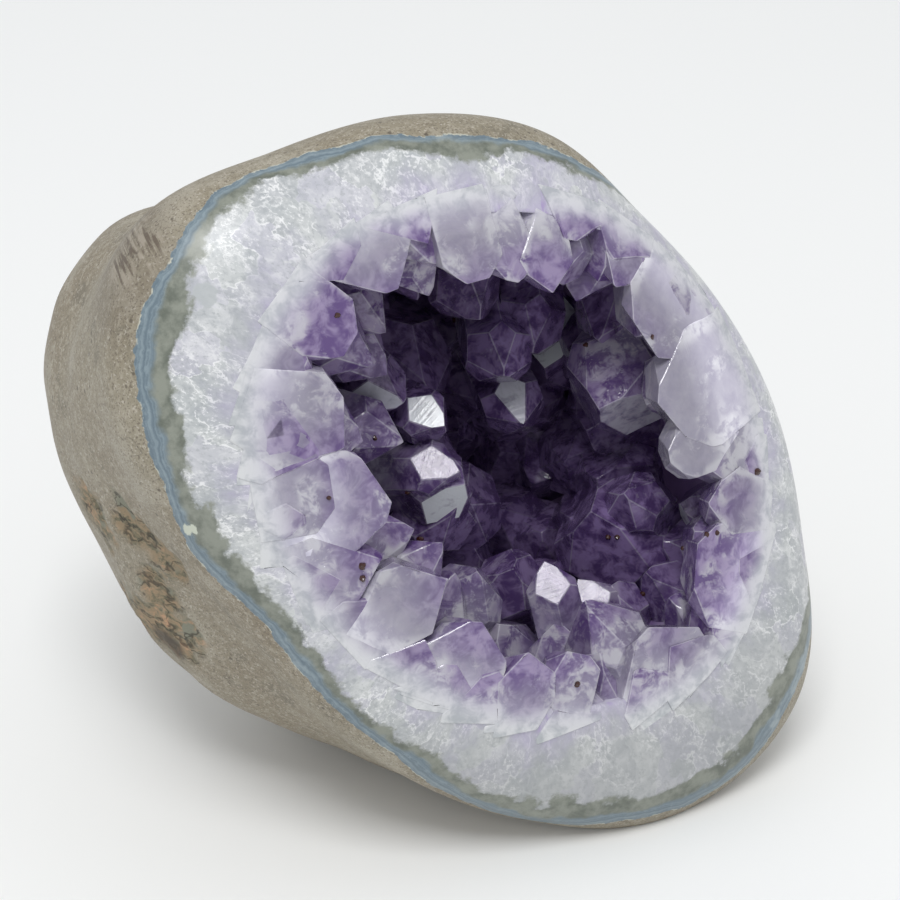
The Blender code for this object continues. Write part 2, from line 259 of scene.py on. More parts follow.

# Points on the inner facets painted pale grey, a painted reflection of the room: u, v, w and how
# strongly.
PAINTED_GLINTS = (
    (27.2, 10.0, -23.1, 1.0),
    (26.6, 3.6, -4.3, 0.3),
    (14.9, 3.6, -15.1, 0.7),
    (-1.1, -4.9, -10.3, 1.0),
    (37.6, -17.2, -5.5, 1.0),
    (-3.4, 9.6, -12.3, 1.0),
    (-8.2, 12.0, -10.5, 0.7),
)

# How finely the stone is drawn: steps round the clock, and rows down the hollow, the dome, the side
# and the rear. The dome's rows crowd towards the girth.
CLOCK_STEPS = 320
HOLLOW_ROWS = 14
DOME_ROWS = 70
DOME_CROWDING = 1.7
SIDE_ROWS = 44
REAR_ROWS = 46

# A crystal's points this close below the polished dome count as cut by it, and the cut is split on
# this grid.
FLUSH_DEPTH = 0.2
FLUSH_GRID = 2.5

# The cut's height over the dome: at least this, and a step more for each of twelve heights, so that
# no two neighbours' cuts lie in one plane.
PROUD = 0.03
PROUD_STEP = 0.025

# The rim crystals' tips stand this share of their width above the dome, which cuts them off.
RIM_LIFT = 0.4
# They point at this far above their own level, and the inner ones at this level.
RIM_RISE = 20.0
AIM_LEVEL = 12.0

# A crystal is as long as it takes to get this far into the wall, between these lengths.
WALL_MARGIN = 4.0
SHORTEST = 6.0
LONGEST = 32.0

# The crystals' edges are worn round by this much, where their faces meet at more than this angle.
EDGE_WEAR = 0.13
SHARP_ANGLE = 0.2

# A face's facet value: a random amount of painted shade up to 1, or this for a worn edge. A facet
# with a painted glint adds the glint's strength to it.
WORN = 2.0

# What is noted at the crystals' points for the colours: how far down from the tip, how far in from
# the cut's edge, how deep in the hollow and how high up in it, which darkens the colour partly as
# painted shade, how far past its edge, and whether in a dark grain.
POINT_NOTES = ("down", "core", "depth_and_painted_shade", "past_edge", "dark")

# The basalt's colours, from its ground to its rust, its marks and its cracks.
BASALT_DARK = (0.23, 0.192, 0.134)
BASALT_LIGHT = (0.29, 0.26, 0.194)
BASALT_PALE_BLOTCH = (0.40, 0.368, 0.298)
BASALT_DARK_BLOTCH = (0.15, 0.135, 0.10)
BASALT_GRAIN = (0.36, 0.323, 0.254)
BASALT_DARK_SPECK = (0.12, 0.095, 0.07)
BASALT_PALE_SPECK = (0.52, 0.48, 0.41)
RUST_GREEN = (0.15, 0.14, 0.09)
RUST_BROWN = (0.30, 0.225, 0.14)
RUST_ORANGE = (0.50, 0.30, 0.18)
RUST_BLACK = (0.06, 0.05, 0.035)
RUST_GREY = (0.22, 0.225, 0.175)
CREVICE = (0.045, 0.037, 0.028)
PIT = (0.07, 0.055, 0.04)
SAW_RIDGE = (0.42, 0.37, 0.30)
SAW_GROOVE = (0.12, 0.09, 0.065)
# Painted shade in a hollow and a slit, and the colour of a darker brown stretch.
PAINTED_SHADE_AND_PATCH_BROWN = (0.09, 0.07, 0.055)
CRACK = (0.05, 0.042, 0.033)

# The bands' colours.
AGATE_DARK = (0.115, 0.16, 0.195)
AGATE_LIGHT = (0.23, 0.29, 0.325)
AGATE_BLOTCH = (0.38, 0.44, 0.46)
AGATE_CRUST = (0.56, 0.55, 0.45)
OLIVE_DARK = (0.12, 0.135, 0.11)
OLIVE_LIGHT = (0.25, 0.265, 0.225)

# The polished quartz's colours, and those of the hollow's wall behind the crystals.
QUARTZ_GREY = (0.41, 0.435, 0.445)
QUARTZ_WHITE = (0.55, 0.565, 0.565)
QUARTZ_DIM_CELL = (0.37, 0.385, 0.41)
QUARTZ_LILAC_CELL = (0.50, 0.475, 0.60)
QUARTZ_MILK = (0.74, 0.745, 0.75)
QUARTZ_CLEAR = (0.34, 0.36, 0.38)
QUARTZ_CRUMB = (0.31, 0.33, 0.345)
QUARTZ_LINE = (0.90, 0.90, 0.90)
# Painted shade on the quartz's lower part, which faces down.
QUARTZ_PAINTED_SHADE = (0.29, 0.295, 0.30)
QUARTZ_LILAC = (0.46, 0.41, 0.58)
QUARTZ_PURPLE = (0.32, 0.22, 0.48)
WALL_DARK = (0.10, 0.06, 0.16)
WALL_LIGHT = (0.22, 0.14, 0.32)
CLEAR_SPOT = (0.42, 0.445, 0.45)
PALE_CRUMB = (0.54, 0.57, 0.48)

# The crystals' colours.
PALE_DARK = (0.40, 0.37, 0.51)
PALE_LIGHT = (0.72, 0.70, 0.78)
LILAC_DARK = (0.19, 0.11, 0.34)
LILAC_LIGHT = (0.50, 0.40, 0.65)
DEEP_DARK = (0.12, 0.065, 0.21)
DEEP_LIGHT = (0.40, 0.28, 0.58)
# Painted shade, laid on each facet by its own random amount.
PAINTED_FACET_SHADE = (0.055, 0.03, 0.10)
VEIL = (0.84, 0.83, 0.88)
FRACTURE = (0.88, 0.87, 0.92)
# A painted highlight on the worn edges.
PAINTED_EDGE_HIGHLIGHT = (0.80, 0.77, 0.88)
# A painted reflection, laid on the glint facets.
PAINTED_GLINT_GREY = (0.66, 0.69, 0.72)
RIM_GREY = (0.40, 0.425, 0.44)
RIM_WHITE = (0.64, 0.65, 0.655)
GRAIN = (0.045, 0.015, 0.012)
CLEAR_PURPLE = (0.66, 0.50, 0.80)

# How clear the crystals are.
CRYSTAL_ROUGHNESS = 0.07
QUARTZ_IOR = 1.544
CLEARNESS = 0.45
ABSORPTION = 35.0

# The studio: the floor's colour, the sky's, and the overhead light, in metres and watts.
FLOOR = (0.88, 0.885, 0.88)
SKY = (0.97, 0.985, 1.0)
SKY_STRENGTH = 0.70
LIGHT_SIZE = 0.6
LIGHT_POWER = 12.5
LIGHT_PLACE = Vector((-0.35, -0.55, 1.5))
LIGHT_TARGET = Vector((0, 0, 0.06))

# The camera: where it looks from, how far off, how wide a field it sees there, in metres, and how
# far its target lies from the front's middle.
AZIMUTH = math.radians(-26)
ELEVATION = math.radians(30)
DISTANCE = 0.40
FIELD = 0.1413
SHIFT_RIGHT = -0.0047
SHIFT_UP = 0.0031
SENSOR = 36


def smooth_radius(radii, clock):
    """The value between the listed ones, at equal clock steps, on a smooth curve through them."""
    count = len(radii)
    place = (clock / math.tau * count) % count
    step = int(place)
    t = place - step
    a, b, c, d = (radii[(step + k) % count] for k in (-1, 0, 1, 2))
    square = (2 * a - 5 * b + 4 * c - d) * t**2
    cube = (3 * b - a - 3 * c + d) * t**3
    return 0.5 * (2 * b + (c - a) * t + square + cube)


def smoothstep(low, high, value):
    t = min(1.0, max(0.0, (value - low) / (high - low)))
    return t * t * (3 - 2 * t)


def arch(share, power):
    return max(0.0, 1.0 - min(1.0, share) ** power) ** (1.0 / power)


def round_centre(clock, radius, w):
    return Vector((radius * math.cos(clock), radius * math.sin(clock), w))


def dome_w(share):
    return GIRTH_W + DOME_HEIGHT * arch(share, DOME_POWER)


def dome_point(clock, share):
    return round_centre(clock, share * smooth_radius(GIRTH_RADII, clock), dome_w(share))


def lumpy(point, amount):
    lump = noise.noise(point / LUMP_SIZE) + 0.5 * noise.noise(point / (0.45 * LUMP_SIZE))
    return point + point.normalized() * lump * LUMP_HEIGHT * amount


def side_point(clock, share):
    blend = share * share * (3 - 2 * share)
    front = smooth_radius(GIRTH_RADII, clock)
    rear = smooth_radius(BACK_RADII, clock)
    w = GIRTH_W + share * (BACK_W - GIRTH_W)
    return lumpy(round_centre(clock, front + blend * (rear - front), w), blend)


def rear_point(clock, share):
    turn = share * math.pi / 2
    radius = smooth_radius(BACK_RADII, clock) * math.cos(turn) ** (2 / REAR_POWER)
    w = BACK_W + (REAR_W - BACK_W) * math.sin(turn) ** (2 / REAR_POWER)
    return lumpy(round_centre(clock, radius, w), 1.0)


def mouth_share(clock, inset=0.0):
    return (smooth_radius(MOUTH_RADII, clock) - inset) / smooth_radius(GIRTH_RADII, clock)


def hollow_point(clock, share, inset=0.0):
    edge = dome_point(clock, mouth_share(clock, inset))
    turn = share * math.pi / 2
    narrowing = math.cos(turn) ** (2 / HOLLOW_POWER) if share < 1 else 0.0
    depth = (HOLLOW_DEPTH - inset) * math.sin(turn) ** (2 / HOLLOW_POWER)
    across = Vector((edge.x, edge.y, 0)).lerp(HOLLOW_CENTRE, 1 - narrowing)
    level = edge.z + (dome_point(0.0, 0.0).z - edge.z) * (1 - narrowing)
    return across + Vector((0, 0, level - depth))


def to_row():
    """From the face's directions in millimetres to the row's frame in metres."""
    lean = Matrix.Rotation(math.pi / 2 - FACE_LEAN, 4, "X")
    return Matrix.Scale(MM, 4) @ Matrix.Translation(FACE_CENTRE) @ lean


def add_object(name, mesh):
    obj = bpy.data.objects.new(name, mesh)
    bpy.context.scene.collection.objects.link(obj)
    return obj


# The stone.


def weathered(point):
    """How rough and weathered the natural surface is here, from 0 to 1."""
    off = min((point - Vector(row[:3])).length / row[3] for row in WEATHERED)
    patchy = noise.noise(point / 7.0) + 0.8 * noise.noise(point / 2.6)
    return smoothstep(1.15, 0.5, off + 0.6 * patchy)


def within(point, row):
    """How far inside a round spot a point is, from 0 at its edge to 1."""
    return smoothstep(row[3], 0.6 * row[3], (point - Vector(row[:3])).length)


def roughened(point, amount):
    """The weathered patches are eaten into by up to a millimetre."""
    if amount <= 0:
        return point
    eaten = 0.35 + 0.5 * abs(noise.noise(point / 2.6)) + 0.35 * noise.noise(point / 1.1)
    return point - point.normalized() * amount * eaten


def stone_columns():
    """The stone's outline down each clock step, from deep in the hollow to the rear's middle."""
    columns = []
    for k in range(CLOCK_STEPS):
        clock = math.tau * k / CLOCK_STEPS
        edge = mouth_share(clock)
        shares = [1 - (n + 0.6) / (HOLLOW_ROWS + 1) for n in range(HOLLOW_ROWS)]
        column = [hollow_point(clock, share) for share in shares]
        for n in range(DOME_ROWS):
            out = 1 - (1 - n / DOME_ROWS) ** DOME_CROWDING
            column.append(dome_point(clock, edge + (1 - edge) * out))
        girth_at = len(column)
        column += [side_point(clock, n / SIDE_ROWS) for n in range(SIDE_ROWS)]
        column += [rear_point(clock, n / REAR_ROWS) for n in range(REAR_ROWS - 1)]
        for n in range(girth_at, len(column)):
            column[n] = roughened(column[n], weathered(column[n]))
        columns.append((column, girth_at))
    return columns


def cut_off(bm, place, normal):
    """Cuts away what lies on the normal's side of a plane, and closes the cut."""
    cut = bmesh.ops.bisect_plane(
        bm,
        geom=bm.verts[:] + bm.edges[:] + bm.faces[:],
        plane_co=place,
        plane_no=normal,
        clear_outer=True,
    )
    edges = [e for e in cut["geom_cut"] if isinstance(e, bmesh.types.BMEdge)]
    if edges:
        bmesh.ops.contextual_create(bm, geom=edges)


def stone_mesh():
    bm = bmesh.new()
    from_agate = bm.verts.layers.float.new("from_agate")
    weather = bm.verts.layers.float.new("weather")
    past_edge = bm.verts.layers.float.new("past_edge")
    agate_width = bm.verts.layers.float.new("agate_width")
    olive_width = bm.verts.layers.float.new("olive_width")
    sawn = bm.verts.layers.float.new("sawn")
    spot = bm.verts.layers.float.new("spot")
    painted_shade_and_patch = bm.verts.layers.float.new("painted_shade_and_patch")
    loops = []
    for k, (column, girth_at) in enumerate(stone_columns()):
        clock = math.tau * k / CLOCK_STEPS
        offset = smooth_radius(AGATE_OFFSETS, clock)
        along = [0.0] * len(column)
        for n in range(girth_at - 1, -1, -1):
            along[n] = along[n + 1] + (column[n] - column[n + 1]).length
        for n in range(girth_at + 1, len(column)):
            along[n] = along[n - 1] - (column[n] - column[n - 1]).length
        loop = []
        for point, far in zip(column, along):
            vert = bm.verts.new(point)
            vert[from_agate] = far - offset
            vert[weather] = weathered(point)
            vert[past_edge] = math.hypot(point.x, point.y) - smooth_radius(MOUTH_RADII, clock)
            vert[agate_width] = smooth_radius(AGATE_WIDTHS, clock)
            vert[olive_width] = smooth_radius(OLIVE_WIDTHS, clock)
            vert[sawn] = within(point, SAWN)
            vert[spot] = sum(within(point, row) * row[4] for row in SPOTS)
            vert[painted_shade_and_patch] = sum(within(point, row) * row[4] for row in PAINTED_SHADE_AND_DARK_PATCH)
            loop.append(vert)
        loops.append(loop)
    for k in range(CLOCK_STEPS):
        here, nxt = loops[k], loops[(k + 1) % CLOCK_STEPS]
        for n in range(len(here) - 1):
            bm.faces.new((here[n], here[n + 1], nxt[n + 1], nxt[n]))
    bm.faces.new([loop[0] for loop in loops])
    bm.faces.new([loop[-1] for loop in reversed(loops)])
    bmesh.ops.recalc_face_normals(bm, faces=bm.faces)
    bmesh.ops.transform(bm, matrix=to_row(), verts=bm.verts)
    cut_off(bm, (0, 0, 0), (0, 0, -1))
    mesh = bpy.data.meshes.new("geode_stone")
    bm.to_mesh(mesh)
    bm.free()
    mesh.shade_smooth()
    return mesh


# The crystals.


def crystal(width, uneven, length):
    """A six-sided prism that ends in six unequal faces, with its tip at zero and its axis up."""
    corner = width / 2 / math.cos(math.pi / 6)
    bm = bmesh.new()
    bmesh.ops.create_cone(
        bm,
        cap_ends=True,
        segments=6,
        radius1=corner,
        radius2=corner,
        depth=length + width,
        matrix=Matrix.Translation((0, 0, (width - length) / 2)),
    )
    for side in range(6):
        clock = math.pi / 6 + side * math.pi / 3
        outward = Vector((math.cos(clock), math.sin(clock), 0))
        normal = outward * math.cos(TIP_FACE_LEAN) + Vector((0, 0, math.sin(TIP_FACE_LEAN)))
        raised = uneven * width if side % 2 else 0.0
        cut_off(bm, Vector((0, 0, raised)), normal)
    return bm


def tip_surface(clock, share):
    """Where the deeper crystals' tips lie: some way from the hollow's wall towards its middle."""
    wall = hollow_point(clock, share, FILL_INSET)
    return wall.lerp(HOLLOW_CENTRE + FILL_MIDDLE, FILL_SHARE)


def crystal_tips():
    """Each crystal's tip and width, whether a face mirrors the light, and the level aimed at."""
    chance = random.Random(FILL_SEED)
    placed = []
    for u, v, w, width in RIM_CRYSTALS:
        tip = Vector((u, v, w + RIM_LIFT * width))
        placed.append((tip, width, 0, tip.z + RIM_RISE))
    placed += [(Vector(row[:3]), row[3], row[4], AIM_LEVEL) for row in INNER_CRYSTALS]
    for _ in range(RIM_TRIES):
        clock = chance.uniform(0, math.tau)
        edge = dome_point(clock, mouth_share(clock, chance.uniform(*RIM_INSET)))
        tip = edge - Vector((0, 0, chance.uniform(*RIM_DROP)))
        width = chance.uniform(*RIM_WIDTHS)
        if all((tip - other[0]).length > RIM_SPACING for other in placed):
            placed.append((tip, width, 0, tip.z + chance.uniform(*RIM_AIM)))
    for _ in range(FILL_TRIES):
        tip = tip_surface(chance.uniform(0, math.tau), chance.uniform(*FILL_DEPTH))
        width = chance.uniform(*FILL_WIDTHS)
        if all((tip - other[0]).length > FILL_SPACING for other in placed):
            placed.append((tip, width, 0, FILL_AIM + FILL_FOLLOW * tip.z))
    return placed


def standing(tip, lit, level, chance):
    """Where a crystal stands: its tip at the place given, its axis out of the wall to the mouth."""
    aim = HOLLOW_CENTRE + Vector((0, 0, level))
    lean = Vector([chance.uniform(-WANDER, WANDER) for _ in range(3)])
    axis = ((aim - tip).normalized() + lean).normalized()
    turn = chance.uniform(0, math.tau)
    if lit:
        across = (axis - LIT * axis.dot(LIT)).normalized()
        axis = LIT * math.sin(TIP_FACE_LEAN) + across * math.cos(TIP_FACE_LEAN)
    facing = axis.to_track_quat("Z", "X")
    if lit:
        seen = facing.inverted() @ LIT
        turn = math.atan2(seen.y, seen.x) - math.pi / 6
    stand = facing.to_matrix().to_4x4() @ Matrix.Rotation(turn, 4, "Z")
    return Matrix.Translation(tip) @ stand, axis


def in_hollow(point, margin):
    """Whether a point is inside the hollow, or at most the margin into its wall."""
    clock = math.atan2(point.y, point.x)
    down = max(0.0, (dome_w(share_at(point)) - point.z) / HOLLOW_DEPTH)
    if down >= 1:
        return False
    open_share = (1 - down**HOLLOW_POWER) ** (1 / HOLLOW_POWER)
    centre = HOLLOW_CENTRE * (1 - open_share)
    off = Vector((point.x - centre.x, point.y - centre.y))
    return off.length < open_share * smooth_radius(MOUTH_RADII, clock) + margin


def share_at(point):
    return math.hypot(point.x, point.y) / smooth_radius(GIRTH_RADII, math.atan2(point.y, point.x))


def above_dome(point):
    return point.z - dome_w(share_at(point))


def cut_to_dome(bm, point):
    """Cuts a crystal along the plane that touches the polished dome above this point."""
    clock, share = math.atan2(point.y, point.x), share_at(point)
    here = dome_point(clock, share)
    outward = (dome_point(clock, share + 0.01) - here).normalized()
    round_it = (dome_point(clock + 0.01, share) - here).normalized()
    normal = outward.cross(round_it)
    cut_off(bm, here, normal if normal.z > 0 else -normal)


def flush_faces(bm):
    return [f for f in bm.faces if all(above_dome(v.co) > -FLUSH_DEPTH for v in f.verts)]


def cut_flush(bm, near, proud):
    """Cuts a crystal off along the polished dome, a hair above it. Gives the points of the cut."""
    cut_to_dome(bm, near)
    for _ in range(4):
        highest = max((v.co for v in bm.verts), key=above_dome)
        if above_dome(highest) < 0.4:
            break
        cut_to_dome(bm, highest.copy())
    bmesh.ops.triangulate(bm, faces=flush_faces(bm))
    for axis in (0, 1):
        places = [v.co[axis] for f in flush_faces(bm) for v in f.verts]
        if not places:
            return set()
        direction = Vector((1 - axis, axis, 0))
        for k in range(math.ceil(min(places) / FLUSH_GRID), math.ceil(max(places) / FLUSH_GRID)):
            faces = flush_faces(bm)
            edges = dict.fromkeys(e for f in faces for e in f.edges)
            verts = dict.fromkeys(v for f in faces for v in f.verts)
            geom = faces + list(edges) + list(verts)
            place = direction * (k * FLUSH_GRID)
            bmesh.ops.bisect_plane(bm, geom=geom, plane_co=place, plane_no=direction)
    on_cut = {v for v in bm.verts if above_dome(v.co) > -FLUSH_DEPTH}
    for vert in on_cut:
        vert.co.z = dome_w(share_at(vert.co)) + proud
    return on_cut


def add_dark_grains(bm):
    """Small uneven grains, half sunk in the crystals' faces."""
    dark = bm.verts.layers.float["dark"]
    tree = BVHTree.FromBMesh(bm)
    for u, v, w, radius in DARK_GRAINS:
        place = tree.find_nearest(Vector((u, v, w)))[0]
        grain = bmesh.ops.create_icosphere(bm, subdivisions=2, radius=radius)
        for vert in grain["verts"]:
            vert.co *= 1 + 0.5 * noise.noise(vert.co * 2.2 + place)
            vert.co += place
            vert[dark] = 1.0


def mark_painted_glints(bm):
    """Gives the facets with a painted glint a facet value over that of a worn edge."""
    facet = bm.faces.layers.float["facet"]
    tree = BVHTree.FromBMesh(bm)
    bm.faces.ensure_lookup_table()
    for u, v, w, strength in PAINTED_GLINTS:
        bm.faces[tree.find_nearest(Vector((u, v, w)))[2]][facet] = WORN + strength


def crystal_length(tip, axis):
    length = SHORTEST
    while length < LONGEST and in_hollow(tip - axis * length, WALL_MARGIN):
        length += 1.0
    return length


def past_mouth(point):
    """How far a point is out over the hollow's edge."""
    mouth = smooth_radius(MOUTH_RADII, math.atan2(point.y, point.x))
    return math.hypot(point.x, point.y) - mouth


def mark_points(bm, place, tip, width, on_cut):
    """Notes what POINT_NOTES lists, apart from the dark grains, at a crystal's points."""
    down, core, depth_and_painted_shade, past_edge = (bm.verts.layers.float[name] for name in POINT_NOTES[:4])
    sides = [math.pi / 6 + side * math.pi / 3 for side in range(6)]
    # Deeper crystals are purpler and darker, partly as painted shade; painted shade also darkens
    # those higher up, under the hollow's overhang, and those to the lower right are darker too.
    lower_right = 0.5 * max(0.0, tip.x - 10) * smoothstep(8, -12, tip.y)
    deep = smoothstep(2, -26, tip.z - 0.2 * tip.y - lower_right)
    back = place.inverted()
    for vert in bm.verts:
        local = back @ vert.co
        out = max(local.x * math.cos(a) + local.y * math.sin(a) for a in sides)
        vert[down] = -local.z
        vert[core] = 1 - out / (width / 2) if vert in on_cut else 1.0
        vert[depth_and_painted_shade] = deep
        vert[past_edge] = past_mouth(vert.co) if vert.co.z > GIRTH_W else -20.0


def mark_faces(bm, tip, on_cut, shades):
    """Gives each face its amount of painted shade, and all of the crystal's faces the crystal's own
    tint.
    """
    facet = bm.faces.layers.float.new("facet")
    grown = bm.faces.layers.float.new("grown")
    own = shades.random()
    tinted = own + sum(within(tip, row) * row[4] for row in TINTS)
    for face in bm.faces:
        face[facet] = own if all(vert in on_cut for vert in face.verts) else shades.random()
        face[grown] = tinted


def wear_edges(bm):
    """Wears the crystals' edges round, and gives them a facet value of their own."""
    sharp = [e for e in bm.edges if len(e.link_faces) == 2 and e.calc_face_angle() > SHARP_ANGLE]
    worn = bmesh.ops.bevel(
        bm, geom=sharp, offset=EDGE_WEAR, segments=1, affect="EDGES", profile=0.5
    )
    facet = bm.faces.layers.float["facet"]
    for face in worn["faces"]:
        face[facet] = WORN


def crystals_mesh():
    chance = random.Random(FILL_SEED)
    shades = random.Random(FILL_SEED)
    bm = bmesh.new()
    for name in POINT_NOTES:
        bm.verts.layers.float.new(name)
    for name in ("facet", "grown"):
        bm.faces.layers.float.new(name)
    for number, (tip, width, lit, level) in enumerate(crystal_tips()):
        width *= CROWDING
        place, axis = standing(tip, lit, level, chance)
        length = crystal_length(tip, axis)
        one = crystal(width, chance.uniform(*UNEVEN), length)
        # These layers come before the cut: a layer added later would give the points new handles,
        # which the set of the cut's points doesn't hold.
        for name in POINT_NOTES:
            one.verts.layers.float.new(name)
        one.transform(place)
        clock = math.atan2(tip.y, tip.x)
        outer = smooth_radius(MOUTH_RADII, clock) + WALL_MARGIN
        cut_off(one, round_centre(clock, outer, 0), round_centre(clock, 1, 0))
        proud = PROUD + PROUD_STEP * (number * 5 % 12)
        on_cut = cut_flush(one, tip - axis * width * 0.7, proud)
        mark_points(one, place, tip, width, on_cut)
        mark_faces(one, tip, on_cut, shades)
        piece = bpy.data.meshes.new("crystal")
        one.to_mesh(piece)
        one.free()
        bm.from_mesh(piece)
        bpy.data.meshes.remove(piece)
    bmesh.ops.recalc_face_normals(bm, faces=bm.faces)
    wear_edges(bm)
    mark_painted_glints(bm)
    add_dark_grains(bm)
    bmesh.ops.transform(bm, matrix=to_row(), verts=bm.verts)
    mesh = bpy.data.meshes.new("crystal_crust")
    bm.to_mesh(mesh)
    bm.free()
    mesh.shade_smooth()
    mesh.set_sharp_from_angle(angle=SHARP_ANGLE)
    return mesh


# The materials.


class Shader:
    """A material with short ways to add and join nodes."""

    def __init__(self, name):
        self.material = bpy.data.materials.new(name)
        self.material.use_nodes = True
        self.tree = self.material.node_tree
        self.surface = self.tree.nodes["Principled BSDF"]
        self.output = self.tree.nodes["Material Output"]

    def join(self, value, socket):
        if isinstance(value, bpy.types.NodeSocket):
            self.tree.links.new(value, socket)
        elif isinstance(value, (tuple, list)) and len(value) == 3 and socket.type == "RGBA":
            socket.default_value = (*value, 1)
        else:
            socket.default_value = value

    def add(self, kind, settings=None, **inputs):
        node = self.tree.nodes.new("ShaderNode" + kind)
        for key, value in (settings or {}).items():
            setattr(node, key, value)
        for key, value in inputs.items():
            self.join(value, node.inputs[key.replace("_", " ")])
        return node

    def set(self, **inputs):
        for key, value in inputs.items():
            self.join(value, self.surface.inputs[key.replace("_", " ")])

    def attribute(self, name, output="Fac"):
        return self.add("Attribute", {"attribute_name": name}).outputs[output]

    def noise(self, vector, scale, detail=4.0, roughness=0.55, distortion=0.0):
        inputs = {"Vector": vector, "Scale": scale, "Detail": detail}
        node = self.add("TexNoise", Roughness=roughness, Distortion=distortion, **inputs)
        return node.outputs["Fac"]

    def math(self, operation, a, b=0.0, clamp=False):
        node = self.add("Math", {"operation": operation, "use_clamp": clamp})
        self.join(a, node.inputs[0])
        self.join(b, node.inputs[1])
        return node.outputs[0]

    def times(self, *factors):
        product = factors[0]
        for factor in factors[1:]:
            product = self.math("MULTIPLY", product, factor)
        return product

    def plus(self, a, b):
        return self.math("ADD", a, b)

    def minus(self, a, b):
        return self.math("SUBTRACT", a, b)

    def most(self, *values):
        largest = values[0]
        for value in values[1:]:
            largest = self.math("MAXIMUM", largest, value)
        return largest

    def dot(self, vector, direction):
        node = self.add("VectorMath", {"operation": "DOT_PRODUCT"})
        self.join(vector, node.inputs[0])
        node.inputs[1].default_value = direction
        return node.outputs["Value"]

    def step(self, value, low, high, to_low=0.0, to_high=1.0):
        node = self.add("MapRange", {"interpolation_type": "SMOOTHSTEP"})
        for index, item in enumerate((value, low, high, to_low, to_high)):
            self.join(item, node.inputs[index])
        return node.outputs[0]

    def mix(self, factor, a, b):
        # A Mix node's colours are its sockets 6 and 7, and its mixed colour is its output 2.
        node = self.add("Mix", {"data_type": "RGBA"})
        self.join(factor, node.inputs[0])
        self.join(a, node.inputs[6])
        self.join(b, node.inputs[7])
        return node.outputs[2]

    def over(self, base, top, *shares):
        """The top colour laid over the base, as strongly as the product of the shares."""
        return self.mix(self.times(*shares), base, top)

    def mix_value(self, factor, a, b):
        node = self.add("Mix", {"data_type": "FLOAT"})
        self.join(factor, node.inputs[0])
        self.join(a, node.inputs[2])
        self.join(b, node.inputs[3])
        return node.outputs[0]

    def bump(self, height, distance, strength=1.0, normal=None):
        node = self.add("Bump", Height=height, Distance=distance, Strength=strength)
        if normal is not None:
            self.join(normal, node.inputs["Normal"])
        return node.outputs["Normal"]

    def voronoi(self, vector, scale, feature="F1", output="Distance", randomness=1.0):
        inputs = {"Vector": vector, "Scale": scale, "Randomness": randomness}
        node = self.add("TexVoronoi", {"feature": feature}, **inputs)
        return node.outputs[output]


def wisps(s, where, scale, width, distortion=1.5):
    """Thin curved lines, where a noise crosses its middle value."""
    off = s.math("ABSOLUTE", s.minus(s.noise(where, scale, 3, 0.5, distortion), 0.5))
    return s.step(off, width, 0.0)


def grain_space(s, where):
    """Millimetres in the face's directions, drawn out towards the hollow to make long grains."""
    lean = s.add("VectorMath", {"operation": "SUBTRACT"})
    s.join(where, lean.inputs[0])
    lean.inputs[1].default_value = FACE_CENTRE * MM
    face = s.add("VectorRotate", {"rotation_type": "X_AXIS"}, Vector=lean.outputs[0])
    face.inputs["Angle"].default_value = FACE_LEAN - math.pi / 2
    parts = s.add("SeparateXYZ", Vector=face.outputs[0])
    flat = s.add("CombineXYZ", X=parts.outputs[0], Y=parts.outputs[1]).outputs[0]
    length = s.add("VectorMath", {"operation": "LENGTH"}, Vector=flat).outputs["Value"]
    outward = s.add("VectorMath", {"operation": "NORMALIZE"}, Vector=flat).outputs[0]
    stretched = s.add("VectorMath", {"operation": "SCALE"}, Vector=outward)
    s.join(s.plus(s.times(length, 480.0), 20.0), stretched.inputs["Scale"])
    level = s.times(parts.outputs[2], 1000.0)
    grain = s.add("VectorMath", {"operation": "ADD"})
    s.join(stretched.outputs[0], grain.inputs[0])
    s.join(s.add("CombineXYZ", Z=level).outputs[0], grain.inputs[1])
    return grain.outputs[0], level


def bent(s, where, scale, amount, detail=2.0):
    """The place moved about by a noise, so that straight pattern lines come out uneven."""
    made = s.add("TexNoise", Vector=where, Scale=scale, Detail=detail, Roughness=0.6)
    centred = s.add("VectorMath", {"operation": "SUBTRACT"})
    s.join(made.outputs["Color"], centred.inputs[0])
    centred.inputs[1].default_value = (0.5, 0.5, 0.5)
    moved = s.add("VectorMath", {"operation": "MULTIPLY_ADD"})
    s.join(centred.outputs[0], moved.inputs[0])
    moved.inputs[1].default_value = (amount, amount, amount)
    s.join(where, moved.inputs[2])
    return moved.outputs[0]


